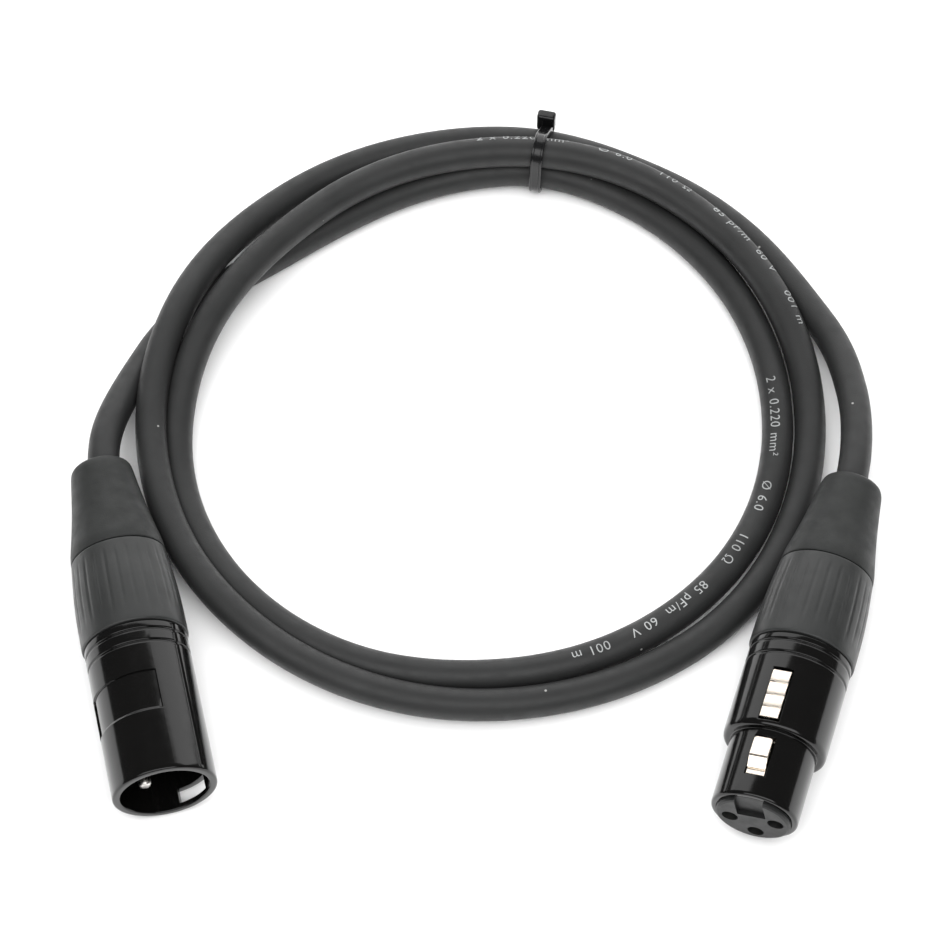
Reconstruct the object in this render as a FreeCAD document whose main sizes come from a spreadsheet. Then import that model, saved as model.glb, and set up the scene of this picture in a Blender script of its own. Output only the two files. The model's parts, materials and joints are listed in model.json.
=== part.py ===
import FreeCAD, Part

# A one metre microphone lead with three-pole plugs, wound into a flat coil and held by a cable tie.
#
# Row frame, in millimetres: +Z is up, z = 0 is the surface the coil lies on, and the origin is the
# middle of the box that the two connectors and the tie fill.  The connectors lie side by side with
# their open ends towards -Y, and the tie holds the strands at the +Y side of the coil.
#
# Each connector is drawn in its own axes: +Z runs from its open end back to its boot, and +Y points
# at its latch (socket end) or latch window (pin end).

import math
import os

import Sketcher
from FreeCAD import Placement, Rotation, Vector

# Driving dimensions, in millimetres and degrees.
SIZES = {
    # Both connectors
    "shell_radius": 9.5,
    "thread_radius": 8.4,
    "thread_length": 11.8,
    "bore_radius": 7.3,
    "collar_radius": 9.85,
    "collar_tail_radius": 8.85,
    "collar_length": 17.9,
    "collar_bore_radius": 8.46,
    "collar_lip_radius": 7.6,
    "collar_lip_length": 3.1,
    "face_gap": 0.2,
    "boot_length": 19.7,
    "boot_tip_radius": 5.75,
    "boot_bore_radius": 3.35,
    "boot_mouth_radius": 4.3,
    "contact_circle": 4.2,
    "ring_groove_depth": 0.25,
    "ring_groove_width": 0.6,
    "wire_radius": 0.6,
    # Pin end
    "pin_front_to_collar": 30.2,
    "cup_radius": 8.1,
    "cup_depth": 15.8,
    "pin_radius": 1.2,
    "pin_shank_radius": 1.5,
    "pin_setback": 3.1,
    "window_width": 7.6,
    "window_start": 1.0,
    "window_end": 3.75,
    "panel_start": 12.0,
    "panel_end": 20.0,
    "panel_depth": 0.35,
    "panel_angle": 104.0,
    # Socket end
    "socket_front_to_collar": 33.2,
    "nose_radius": 7.95,
    "nose_length": 13.9,
    "nose_bore_radius": 6.9,
    "nose_rim": 0.5,
    "insert_stand": 0.4,
    "socket_radius": 1.25,
    "socket_depth": 14.5,
    "socket_wall_radius": 1.7,
    "latch_width": 3.4,
    "latch_slot_width": 3.8,
    "hook_window_start": 4.7,
    "hook_window_end": 12.5,
    "pad_window_start": 15.0,
    "pad_window_end": 25.7,
    # Cable and tie
    "cable_radius": 3.0,
    "coil_inner_radius": 54.0,
    "coil_outer_radius": 65.8,
    "coil_height": 10.0,
    "tie_width": 2.3,
    "tie_thickness": 1.0,
    "tie_head_length": 2.2,
    "tie_head_width": 3.7,
    "tie_head_height": 4.5,
}

# Places in the row frame
COIL_CENTRE = Vector(0.9, 12.3, 0)
PIN_FRONT = COIL_CENTRE + Vector(-56.05, -83.6, 0)
PIN_HEADING = 12.9
PIN_ROLL = 140.5
PIN_PANEL_TURN = 183.5
SOCKET_FRONT = COIL_CENTRE + Vector(48.2, -88.6, 0)
SOCKET_HEADING = -17.6
SOCKET_ROLL = -12.0
TIE_ANGLE = 78.0
CONTACT_ANGLES = {1: 0.0, 2: 180.0, 3: -90.0}

# Depths along a connector, measured from the shoulder that its collar closes against
INSERT_BACK = -1.2
CUP_BACK = 4.8
CHUCK_FRONT = 1.5
CHUCK_BACK = 16.6
JACKET_END = 9.8

document = FreeCAD.newDocument("coiled_microphone_lead")
sheet = document.addObject("Spreadsheet::Sheet", "Sizes")
for row, (alias, number) in enumerate(SIZES.items(), start=1):
    sheet.set(f"A{row}", alias)
    sheet.set(f"B{row}", str(number))
    sheet.setAlias(f"B{row}", alias)
document.recompute()

nodes = []


class Size:
    """A length that carries its number and the sheet expression that gives it."""

    def __init__(self, number, text):
        self.number = number
        self.text = text

    def __add__(self, other):
        other = as_size(other)
        return Size(self.number + other.number, f"({self.text} + {other.text})")

    def __sub__(self, other):
        other = as_size(other)
        return Size(self.number - other.number, f"({self.text} - {other.text})")

    def __truediv__(self, divisor):
        return Size(self.number / divisor, f"({self.text} / {divisor})")


def as_size(value):
    return value if isinstance(value, Size) else Size(float(value), f"{float(value):.4f}")


def size(alias):
    return Size(float(sheet.get(alias)), f"Sizes.{alias}")


def new_body(label, placement):
    body = document.addObject("PartDesign::Body", label)
    body.Label = label
    body.Placement = placement
    nodes.append(body)
    return body


def origin_item(body, role):
    return next(item for item in body.Origin.OriginFeatures if item.Role == role)


def outline(body, name, corners, turn=0.0):
    """A closed sketch of straight sides in a plane through the body's Z axis.

    Each corner is (distance from the axis, distance along it); turn swings the plane about the axis.
    """
    sketch = body.newObject("Sketcher::SketchObject", name)
    sketch.AttachmentSupport = (origin_item(body, "XZ_Plane"), [""])
    sketch.MapMode = "FlatFace"
    sketch.AttachmentOffset = Placement(Vector(), Rotation(Vector(0, 1, 0), turn))
    corners = [(as_size(across), as_size(along)) for across, along in corners]
    points = [Vector(across.number, along.number, 0) for across, along in corners]
    count = len(points)
    for index in range(count):
        sketch.addGeometry(Part.LineSegment(points[index], points[(index + 1) % count]), False)
    for index in range(count):
        sketch.addConstraint(Sketcher.Constraint("Coincident", index, 2, (index + 1) % count, 1))
    for index, (across, along) in enumerate(corners):
        hold(sketch, index, "DistanceX", across, -2)
        hold(sketch, index, "DistanceY", along, -1)
    return sketch


def hold(sketch, index, kind, value, axis):
    """Hold one coordinate of a corner, on the axis itself where the value is zero."""
    if abs(value.number) < 1e-9:
        sketch.addConstraint(Sketcher.Constraint("PointOnObject", index, 1, axis))
        return
    number = sketch.addConstraint(Sketcher.Constraint(kind, -1, 1, index, 1, value.number))
    name = f"{kind}{index}"
    sketch.renameConstraint(number, name)
    sketch.setExpression(f"Constraints.{name}", value.text)


def turned(body, name, corners, angle=None, turn=0.0):
    """Turn an outline about the body's Z axis, all the way round or through an angle."""
    feature = body.newObject("PartDesign::Revolution", name)
    feature.Profile = outline(body, f"{name}_outline", corners, turn)
    feature.ReferenceAxis = (feature.Profile[0], ["V_Axis"])
    feature.Angle = 360.0
    if angle is not None:
        feature.Midplane = True
        feature.Angle = angle
    return feature


def turned_cut(body, name, corners, angle, turn):
    """Cut a sector of a ring, centred on the direction that turn gives."""
    feature = body.newObject("PartDesign::Groove", name)
    feature.Profile = outline(body, f"{name}_outline", corners, turn)
    feature.ReferenceAxis = (feature.Profile[0], ["V_Axis"])
    feature.Midplane = True
    feature.setExpression("Angle", angle.text)
    return feature


def slab(body, kind, name, corners, width, turn):
    """Pad or pocket an outline by the same amount to both sides of its plane."""
    feature = body.newObject(f"PartDesign::{kind}", name)
    feature.Profile = outline(body, f"{name}_outline", corners, turn)
    feature.SideType = "Symmetric"
    feature.setExpression("Length", as_size(width).text)
    return feature


def drilled(body, name, angle, radius, start, length):
    """Drill one hole parallel to the axis on the contact circle."""
    hole = body.newObject("PartDesign::SubtractiveCylinder", name)
    hole.AttachmentSupport = (origin_item(body, "XY_Plane"), [""])
    hole.MapMode = "FlatFace"
    circle = SIZES["contact_circle"]
    across = Vector(circle * math.cos(math.radians(angle)), circle * math.sin(math.radians(angle)), 0)
    hole.AttachmentOffset = Placement(across + Vector(0, 0, start), Rotation())
    hole.setExpression("Radius", as_size(radius).text)
    hole.Height = length
    return hole


def ring_groove(start):
    """Corners of a shallow groove round the outside of a shell."""
    outer = size("shell_radius")
    floor = outer - size("ring_groove_depth")
    end = start + size("ring_groove_width")
    return [(outer, start), (floor, start), (floor, end), (outer, end)]


def box(inner, outer, start, end):
    """Corners of a rectangle between two distances from the axis and two depths."""
    return [(inner, start), (outer, start), (outer, end), (inner, end)]


# The connectors' own axes in the row frame

def connector_placement(front, heading, roll):
    lying = Rotation(Vector(-1, 0, 0), Vector(0, 0, 1), Vector(0, 1, 0), "ZXY")
    turned_to = Rotation(Vector(0, 0, 1), heading) * lying * Rotation(Vector(0, 0, 1), roll)
    return Placement(front + Vector(0, 0, SIZES["collar_radius"]), turned_to)


PIN_END = connector_placement(PIN_FRONT, PIN_HEADING, PIN_ROLL)
SOCKET_END = connector_placement(SOCKET_FRONT, SOCKET_HEADING, SOCKET_ROLL)
PIN_SHOULDER = size("pin_front_to_collar")
SOCKET_SHOULDER = size("socket_front_to_collar")


def contact_placement(connector, angle):
    circle = SIZES["contact_circle"]
    offset = Vector(circle * math.cos(math.radians(angle)), circle * math.sin(math.radians(angle)), 0)
    return connector * Placement(offset, Rotation())


# Parts that both connectors share

def collar(label, connector, shoulder):
    """A screwed collar: it turns on the shell's thread and carries the boot with its inner lip."""
    body = new_body(label, connector)
    back = shoulder + size("collar_length")
    lip = back - size("collar_lip_length")
    waist = shoulder + 9.0
    corners = [
        (size("collar_bore_radius"), shoulder),
        (size("collar_radius") - 0.25, shoulder),
        (size("collar_radius"), shoulder + 0.3),
        (size("collar_radius") - 0.1, waist),
        (size("collar_tail_radius"), back),
        (size("collar_lip_radius"), back),
        (size("collar_lip_radius"), lip),
        (size("collar_bore_radius"), lip),
    ]
    turned(body, "sleeve", corners)
    return body


def boot(label, connector, shoulder):
    """A rubber boot: a flange inside the collar, a neck through its lip and a tapering tail."""
    body = new_body(label, connector)
    seam = shoulder + size("collar_length") + 0.1
    lip = shoulder + size("collar_length") - size("collar_lip_length")
    tip = seam + size("boot_length")
    neck = size("collar_lip_radius") - 0.1
    flange = size("collar_bore_radius") - 0.12
    outside = [
        (flange, lip - 2.0),
        (flange, lip - 0.1),
        (neck, lip - 0.1),
        (neck, seam),
        (size("collar_tail_radius"), seam),
        (size("collar_tail_radius") - 0.1, seam + 1.5),
        (size("boot_tip_radius") + 1.35, seam + 9.5),
        (size("boot_tip_radius"), tip - 1.2),
        (size("boot_tip_radius") - 0.9, tip),
    ]
    inside = [
        (size("boot_mouth_radius"), tip),
        (size("boot_bore_radius"), tip - 9.0),
        (size("boot_bore_radius"), seam + 1.5),
        (5.4, seam - 1.0),
        (6.8, lip - 2.0),
    ]
    turned(body, "rubber", outside + inside)
    return body


def chuck(label, connector, shoulder):
    """A slit plastic chuck that the collar squeezes onto the jacket."""
    body = new_body(label, connector)
    front = shoulder + CHUCK_FRONT
    back = shoulder + CHUCK_BACK
    grip = size("cable_radius")
    corners = [
        (grip, shoulder + JACKET_END),
        (6.6, shoulder + CUP_BACK + 1.2),
        (6.6, front),
        (7.2, front),
        (7.2, shoulder + 12.0),
        (6.3, shoulder + 13.0),
        (5.0, back),
        (grip, back),
    ]
    turned(body, "cone", corners)
    slit = slab(body, "Pocket", "slit", box(3.2, 8.0, shoulder + 10.5, back + 1.0), 0.8, 0.0)
    pattern = body.newObject("PartDesign::PolarPattern", "slits")
    pattern.Originals = [slit]
    pattern.Axis = (origin_item(body, "Z_Axis"), [""])
    pattern.Angle = 360.0
    pattern.Occurrences = 4
    body.Tip = pattern
    return body


def ground_contact(label, connector, shoulder, angle, contact_radius):
    """A bent strip that joins contact 1 to the metal shell."""
    body = new_body(label, connector * Placement(Vector(), Rotation(Vector(0, 0, 1), angle)))
    back = shoulder + INSERT_BACK
    tab_end = size("contact_circle") + contact_radius
    corners = [
        (6.95, back - 7.0),
        (7.25, back - 7.0),
        (7.25, back + 0.45),
        (tab_end, back + 0.45),
        (tab_end, back + 0.1),
        (6.95, back + 0.1),
    ]
    turned(body, "strip", corners, angle=26.0)
    return body


def solder_contact(label, placement, corners, cup_radius, shoulder):
    """A turned contact that ends in a solder cup behind the insert."""
    body = new_body(label, placement)
    cup_back = shoulder + CUP_BACK
    cup_floor = cup_back - 4.0
    corners = corners + [
        (cup_radius, cup_back),
        (cup_radius - 0.5, cup_back),
        (cup_radius - 0.5, cup_floor),
        (0, cup_floor),
    ]
    turned(body, "contact", corners)
    return body


# Paths of straight runs joined by tangent arcs

def rounded_path(points, smallest_radius):
    """Join straight runs with arcs that take 0.45 of the shorter run each side of a corner."""
    edges = []
    start = points[0]
    for before, corner, after in zip(points, points[1:], points[2:]):
        incoming = (corner - before)
        outgoing = (after - corner)
        reach = 0.45 * min(incoming.Length, outgoing.Length)
        half_turn = incoming.getAngle(outgoing) / 2
        radius = reach / math.tan(half_turn)
        if radius < smallest_radius:
            raise ValueError(f"arc of {radius:.1f} mm is under {smallest_radius:.1f} mm")
        arc_start = corner - incoming.normalize() * reach
        arc_end = corner + outgoing.normalize() * reach
        inward = (arc_start + arc_end) / 2 - corner
        to_centre = radius / math.cos(half_turn)
        middle = corner + inward.normalize() * (to_centre - radius)
        edges.append(Part.LineSegment(start, arc_start).toShape())
        edges.append(Part.Arc(arc_start, middle, arc_end).toShape())
        print(f"  arc radius {radius:.1f}")
        start = arc_end
    edges.append(Part.LineSegment(start, points[-1]).toShape())
    return Part.Wire(edges)


def tube(label, points, radius, smallest_radius):
    """A round tube along a path, checked against its section times its length."""
    print(label)
    path = rounded_path(points, smallest_radius)
    section = Part.Wire(Part.Circle(points[0], points[1] - points[0], radius).toShape())
    solid = path.makePipeShell([section], True, False)
    expected = math.pi * radius**2 * path.Length
    if abs(solid.Volume - expected) > 0.01 * expected:
        raise ValueError(f"{label} has {solid.Volume:.0f} mm3, not {expected:.0f}")
    print(f"  length {path.Length:.1f}")
    feature = document.addObject("Part::Feature", label)
    feature.Label = label
    feature.Shape = solid
    nodes.append(feature)
    return feature


# The pin end

def make_pin_end():
    shoulder = PIN_SHOULDER
    outer = size("shell_radius")

    shell = new_body("male_shell", PIN_END)
    corners = [
        (size("cup_radius"), 0.25),
        (size("cup_radius") + 0.3, 0),
        (outer - 0.4, 0),
        (outer, 0.4),
    ]
    for start in (shoulder - 4.6, shoulder - 2.1):
        corners += ring_groove(start)
    corners += [
        (outer, shoulder - size("face_gap")),
        (size("thread_radius"), shoulder - size("face_gap")),
        (size("thread_radius"), shoulder + size("thread_length")),
        (size("bore_radius"), shoulder + size("thread_length")),
        (size("bore_radius"), size("cup_depth") + 1.0),
        (7.0, size("cup_depth") + 1.0),
        (7.0, size("cup_depth")),
        (size("cup_radius"), size("cup_depth")),
    ]
    turned(shell, "casting", corners)
    window = box(7.0, 11.0, size("window_start"), size("window_end"))
    slab(shell, "Pocket", "latch_window", window, size("window_width"), 90.0)
    panel = box(outer - size("panel_depth"), outer + 1.0, size("panel_start"), size("panel_end"))
    turned_cut(shell, "plain_panel", panel, size("panel_angle"), 90.0 + PIN_PANEL_TURN)
    key_line = box(outer - 0.3, outer + 1.0, 1.0, shoulder + 0.5)
    slab(shell, "Pocket", "key_line", key_line, 0.9, 0.0)

    insert = new_body("male_insert", PIN_END)
    front = size("cup_depth")
    turned(insert, "moulding", [
        (0, front),
        (6.95, front),
        (6.95, front + 1.0),
        (7.25, front + 1.0),
        (7.25, front + 5.0),
        (6.9, front + 5.0),
        (6.9, shoulder + INSERT_BACK),
        (0, shoulder + INSERT_BACK),
    ])
    for number, angle in CONTACT_ANGLES.items():
        drilled(insert, f"pin_hole_{number}", angle, size("pin_shank_radius"), 10.0, 30.0)

    for number, angle in CONTACT_ANGLES.items():
        radius = size("pin_radius")
        tip = size("pin_setback")
        shank = size("pin_shank_radius")
        corners = [
            (0, tip),
            (radius - 0.7, tip),
            (radius - 0.2, tip + 0.4),
            (radius, tip + 1.0),
            (radius, front),
            (shank, front),
        ]
        solder_contact(f"male_pin_{number}", contact_placement(PIN_END, angle), corners, shank, shoulder)


# The socket end

def make_socket_end():
    shoulder = SOCKET_SHOULDER
    outer = size("shell_radius")
    nose = size("nose_length")
    rim = size("nose_rim")

    shell = new_body("female_shell", SOCKET_END)
    corners = [
        (size("nose_bore_radius"), rim),
        (size("nose_radius") - 0.6, rim),
        (size("nose_radius") - 0.15, rim + 0.25),
        (size("nose_radius"), rim + 0.8),
        (size("nose_radius"), nose),
        (outer - 0.7, nose),
        (outer - 0.2, nose + 0.3),
        (outer, nose + 0.9),
    ]
    for start in (shoulder - 4.5, shoulder - 1.9):
        corners += ring_groove(start)
    corners += [
        (outer, shoulder - size("face_gap")),
        (size("thread_radius"), shoulder - size("face_gap")),
        (size("thread_radius"), shoulder + size("thread_length")),
        (size("bore_radius"), shoulder + size("thread_length")),
        (size("bore_radius"), nose + 0.6),
        (size("nose_bore_radius"), nose + 0.6),
    ]
    turned(shell, "casting", corners)
    slot = size("latch_slot_width")
    hook_window = box(5.0, 11.0, size("hook_window_start"), size("hook_window_end"))
    slab(shell, "Pocket", "hook_window", hook_window, slot, 90.0)
    pad_window = box(5.0, 11.0, size("pad_window_start"), size("pad_window_end"))
    slab(shell, "Pocket", "pad_window", pad_window, slot, 90.0)

    insert = new_body("female_insert", SOCKET_END)
    front = as_size(0) - size("insert_stand")
    turned(insert, "moulding", [
        (0, front),
        (6.4, front),
        (6.75, front + 0.2),
        (6.85, front + 0.6),
        (6.85, nose + 0.65),
        (7.25, nose + 0.65),
        (7.25, nose + 9.0),
        (6.9, nose + 9.0),
        (6.9, shoulder + INSERT_BACK),
        (0, shoulder + INSERT_BACK),
    ])
    key_notch = box(1.4, 8.0, -1.0, 0.5)
    slab(insert, "Pocket", "key_notch", key_notch, 5.2, 90.0)
    hook_channel = box(4.6, 8.0, 3.3, 12.6)
    slab(insert, "Pocket", "hook_channel", hook_channel, 4.2, 90.0)
    pad_channel = box(3.3, 8.0, 12.0, 28.6)
    slab(insert, "Pocket", "pad_channel", pad_channel, 4.2, 90.0)
    for number, angle in CONTACT_ANGLES.items():
        drilled(insert, f"socket_mouth_{number}", angle, size("socket_radius") + 0.25, -1.0, 3.0)
        drilled(insert, f"socket_seat_{number}", angle, size("socket_wall_radius"), 1.2, 35.0)

    for number, angle in CONTACT_ANGLES.items():
        bore = size("socket_radius")
        wall = size("socket_wall_radius")
        corners = [
            (0, size("socket_depth") + 1.2),
            (bore, size("socket_depth") + 1.2),
            (bore, 1.2),
            (wall, 1.2),
            (wall, shoulder + CUP_BACK - 0.4),
        ]
        placement = contact_placement(SOCKET_END, angle)
        solder_contact(f"female_contact_{number}", placement, corners, wall - 0.3, shoulder)

    make_latch()


def make_latch():
    """A sprung lever: its lip is tucked under the front of the nose window, its pad is the button."""
    lever = new_body("latch_lever", SOCKET_END)
    profile = [
        (5.85, 3.7),
        (6.5, 3.7),
        (6.5, 4.8),
        (7.45, 4.9),
        (7.45, 5.85),
        (7.9, 5.95),
        (8.75, 7.2),
        (8.9, 7.6),
        (8.9, 11.8),
        (6.5, 11.9),
        (6.5, 15.3),
        (9.9, 15.3),
        (9.9, 17.4),
    ]
    for rib_end in (19.9, 22.4, 25.0):
        profile += [(9.45, rib_end - 2.3), (9.45, rib_end - 1.8), (9.8, rib_end - 1.6), (9.8, rib_end)]
    profile += [(9.3, 25.2), (7.0, 25.2), (7.0, 16.6), (5.85, 16.2)]
    slab(lever, "Pad", "stamping", profile, size("latch_width"), 90.0)

    spring = new_body("latch_spring", SOCKET_END)
    leaf = [
        (3.35, 27.8),
        (3.35, 24.6),
        (6.55, 19.4),
        (6.55, 18.2),
        (6.9, 18.2),
        (6.9, 19.6),
        (3.7, 24.8),
        (3.7, 27.8),
    ]
    slab(spring, "Pad", "leaf", leaf, 2.4, 90.0)


# What lies between each connector and the cable

def make_wiring(side, connector, shoulder):
    """Three cores that run from the stripped end of the jacket to the solder cups."""
    along = shoulder.number
    for name, number in (("shield", 1), ("hot", 2), ("cold", 3)):
        angle = math.radians(CONTACT_ANGLES[number])
        direction = Vector(math.cos(angle), math.sin(angle), 0)
        cup = direction * SIZES["contact_circle"]
        core = direction * 1.4
        local = [
            cup + Vector(0, 0, along + CUP_BACK - 3.9),
            cup + Vector(0, 0, along + CUP_BACK + 0.6),
            core + Vector(0, 0, along + JACKET_END - 1.9),
            core + Vector(0, 0, along + JACKET_END),
        ]
        points = [connector.multVec(point) for point in local]
        tube(f"{side}_wire_{name}", points, SIZES["wire_radius"], SIZES["wire_radius"])


def on_axis(connector, depth):
    return connector.multVec(Vector(0, 0, depth))


def make_cable():
    """The two leads and the tied coil between them."""
    radius = SIZES["cable_radius"]
    smallest = 10 * radius
    pin_start = PIN_SHOULDER.number + JACKET_END
    points = [
        on_axis(PIN_END, pin_start),
        on_axis(PIN_END, 63.5),
        COIL_CENTRE + Vector(-71.3, -8.4, 9.1),
        COIL_CENTRE + Vector(-69.6, 2.6, 6.4),
        COIL_CENTRE + Vector(-65.2, 12.6, 4.0),
        COIL_CENTRE + Vector(-59.2, 21.6, 3.1),
    ]
    tube("cable_male_lead", points, radius, smallest)

    socket_start = SOCKET_SHOULDER.number + JACKET_END
    points = [
        on_axis(SOCKET_END, socket_start),
        on_axis(SOCKET_END, 64.5),
        COIL_CENTRE + Vector(71.4, -13.4, 9.2),
        COIL_CENTRE + Vector(72.2, -1.2, 7.2),
        COIL_CENTRE + Vector(70.2, 10.6, 4.9),
        COIL_CENTRE + Vector(65.2, 21.6, 3.6),
        COIL_CENTRE + Vector(58.2, 31.2, 3.1),
        COIL_CENTRE + Vector(50.6, 38.2, 3.1),
    ]
    tube("cable_female_lead", points, radius, smallest)

    coil = new_body("cable_coil", Placement(COIL_CENTRE, Rotation()))
    inner = size("coil_inner_radius")
    outer = size("coil_outer_radius")
    top = size("coil_height")
    round_off = 1.8
    turned(coil, "turns", [
        (inner + round_off, 0),
        (outer - round_off, 0),
        (outer, round_off),
        (outer, top - round_off - 1.5),
        (outer - round_off - 1.5, top),
        (inner + round_off + 1.5, top),
        (inner, top - round_off - 1.5),
        (inner, round_off),
    ])


def make_tie():
    """A nylon tie round the three strands, with its locking head on the outer side of the coil."""
    radius = SIZES["cable_radius"]
    thickness = SIZES["tie_thickness"]
    lift = radius + thickness + 0.1
    centres = [Vector(56.0, lift, 0), Vector(62.8, lift, 0), Vector(56.7, lift + 5.6, 0)]
    triangle = Part.makePolygon(centres + [centres[0]])
    inner = triangle.makeOffset2D(radius + 0.1)
    outer = triangle.makeOffset2D(radius + 0.1 + thickness)
    band = Part.Face(outer).extrude(Vector(0, 0, SIZES["tie_width"]))
    opening = Part.Face(inner).extrude(Vector(0, 0, SIZES["tie_width"]))
    band.translate(Vector(0, 0, -SIZES["tie_width"] / 2))
    opening.translate(Vector(0, 0, -SIZES["tie_width"] / 2))
    strap = band.cut(opening)

    length = SIZES["tie_head_length"]
    width = SIZES["tie_head_width"]
    height = SIZES["tie_head_height"]
    head_start = centres[1].x + radius - 0.75
    head = Part.makeBox(length, height, width, Vector(head_start, 5.4, -0.45 - width / 2))
    head = head.makeFillet(0.5, head.Edges)
    solid = strap.fuse(head).cut(opening).removeSplitter()

    feature = document.addObject("Part::Feature", "cable_tie")
    feature.Label = "cable_tie"
    feature.Shape = solid
    standing = Rotation(Vector(0, 0, 1), TIE_ANGLE) * Rotation(Vector(1, 0, 0), 90)
    feature.Placement = Placement(COIL_CENTRE, standing)
    nodes.append(feature)


make_pin_end()
make_socket_end()
for side, connector, shoulder, contact_radius in (
    ("male", PIN_END, PIN_SHOULDER, size("pin_shank_radius")),
    ("female", SOCKET_END, SOCKET_SHOULDER, size("socket_wall_radius")),
):
    ground_contact(f"{side}_ground_contact", connector, shoulder, CONTACT_ANGLES[1], contact_radius)
    chuck(f"{side}_chuck", connector, shoulder)
    collar(f"{side}_collar", connector, shoulder)
    boot(f"{side}_boot", connector, shoulder)
    make_wiring(side, connector, shoulder)
make_cable()
make_tie()

document.recompute()
for item in document.Objects:
    if "Invalid" in item.State or "Error" in item.State:
        raise RuntimeError(f"{item.Name} did not compute")
os.makedirs("parts", exist_ok=True)
for node in nodes:
    if node.Shape.isNull() or not node.Shape.isValid():
        raise RuntimeError(f"{node.Label} has no valid shape")
    node.Shape.exportStep(f"parts/{node.Label}.step")
    extent = node.Shape.BoundBox
    print(f"{node.Label}: {node.Shape.Volume:.1f} mm3, {len(node.Shape.Solids)} solid, "
          f"x {extent.XMin:.2f} {extent.XMax:.2f} y {extent.YMin:.2f} {extent.YMax:.2f} "
          f"z {extent.ZMin:.2f} {extent.ZMax:.2f}")
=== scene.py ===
"""A one metre microphone lead, coiled and tied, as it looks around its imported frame.

Each connector is drawn along its own axis: depths run back from its open end, the radius is the
distance from the axis, and both are in millimetres.  Its pieces are then laid in the frame, in
metres, at the mount that the record gives for that end.
"""

import json
import math

import bmesh
import bpy
from mathutils import Matrix, Quaternion, Vector


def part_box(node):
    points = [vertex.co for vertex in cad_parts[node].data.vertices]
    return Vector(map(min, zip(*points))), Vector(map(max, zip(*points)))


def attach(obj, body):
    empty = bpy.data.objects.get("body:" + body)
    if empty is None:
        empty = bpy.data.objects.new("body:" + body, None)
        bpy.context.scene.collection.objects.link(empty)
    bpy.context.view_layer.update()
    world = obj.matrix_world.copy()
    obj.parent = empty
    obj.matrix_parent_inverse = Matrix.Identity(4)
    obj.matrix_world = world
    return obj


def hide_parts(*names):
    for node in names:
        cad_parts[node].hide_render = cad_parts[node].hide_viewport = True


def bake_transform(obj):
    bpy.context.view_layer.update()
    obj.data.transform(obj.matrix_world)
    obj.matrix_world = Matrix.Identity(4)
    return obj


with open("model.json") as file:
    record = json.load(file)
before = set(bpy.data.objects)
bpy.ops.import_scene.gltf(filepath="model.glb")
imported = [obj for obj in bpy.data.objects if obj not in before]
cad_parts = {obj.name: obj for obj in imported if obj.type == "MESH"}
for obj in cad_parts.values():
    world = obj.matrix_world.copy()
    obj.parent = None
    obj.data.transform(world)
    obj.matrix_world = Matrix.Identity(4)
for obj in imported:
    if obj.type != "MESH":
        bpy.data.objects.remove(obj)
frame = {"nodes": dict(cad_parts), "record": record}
bpy.context.view_layer.update()
nodes = frame["nodes"]
mounts = {mount["name"]: mount for mount in frame["record"]["mounts"]}

MM = 0.001
UP = Vector((0, 0, 1))

# Sizes that the two connectors share, in millimetres
SHELL_RADIUS = 9.5
THREAD_RADIUS = 8.4
THREAD_LENGTH = 11.8
BORE_RADIUS = 7.3
COLLAR_RADIUS = 9.85
COLLAR_TAIL_RADIUS = 8.85
COLLAR_BORE_RADIUS = 8.46
COLLAR_LIP_RADIUS = 7.6
COLLAR_LENGTH = 17.9
COLLAR_LIP_LENGTH = 3.1
FLUTES = 27
FLUTE_DEPTH = 0.11
SEAM = 0.1
BOOT_LENGTH = 19.7
BOOT_TIP_RADIUS = 5.75
BOOT_BORE_RADIUS = 3.35
BOOT_MOUTH_RADIUS = 4.3
CONTACT_CIRCLE = 4.2
CONTACT_ANGLES = {1: 0.0, 2: 180.0, 3: -90.0}
JACKET_START = 9.8
LATCH_ANGLE = 90.0

# The pin end; its shoulder is where the collar closes, and its roll is how far it is turned over
PIN_SHOULDER = 30.2
PIN_ROLL = 140.5
CUP_RADIUS = 8.1
CUP_DEPTH = 15.8
PIN_RADIUS = 1.2
PIN_SETBACK = 3.1
SOLDER_CUP_RADIUS = 1.5
LATCH_WINDOW_WIDTH = 7.6
KEY_WIDTH = 0.9
KEY_DEPTH = 0.3
PANEL_START, PANEL_END = 12.0, 20.0
PANEL_ANGLE, PANEL_HALF_ANGLE = -86.5, 52.0
PANEL_DEPTH = 0.35

# The socket end
SOCKET_SHOULDER = 33.2
SOCKET_ROLL = -12.0
NOSE_RADIUS = 7.95
NOSE_LENGTH = 13.9
NOSE_BORE_RADIUS = 6.9
NOSE_RIM = 0.5
LATCH_SLOT_WIDTH = 3.8
LATCH_WIDTH = 3.4
LEAF_WIDTH = 2.4

# The cable, the marks on it and the tie; the tie's head is given outwards, upwards and sideways
CABLE_RADIUS = 3.0
PRINT_HEIGHT = 1.95
PRINT_WORDS = "2 x 0.220 mm\u00b2     \u00d8 6.0     110 \u03a9     85 pF/m  60 V    001 m"
CAPITAL_HEIGHT = 0.73
TIE_ANGLE = 78.0
TIE_WIDTH = 2.3
TIE_THICKNESS = 1.0
TIE_HEAD = (2.2, 4.5, 3.7)
TIE_HEAD_START = 65.05
TIE_HEAD_BOTTOM = 5.4
TIE_HEAD_ASIDE = -0.45

# The camera looks down from in front on a point a little before the coil's middle
CAMERA_ELEVATION = 60.03
CAMERA_DISTANCE = 0.63874
CAMERA_LENS = 126.84
SENSOR_WIDTH = 36
CAMERA_OFFSET = Vector((-0.0010, -0.0128, 0))


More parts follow.
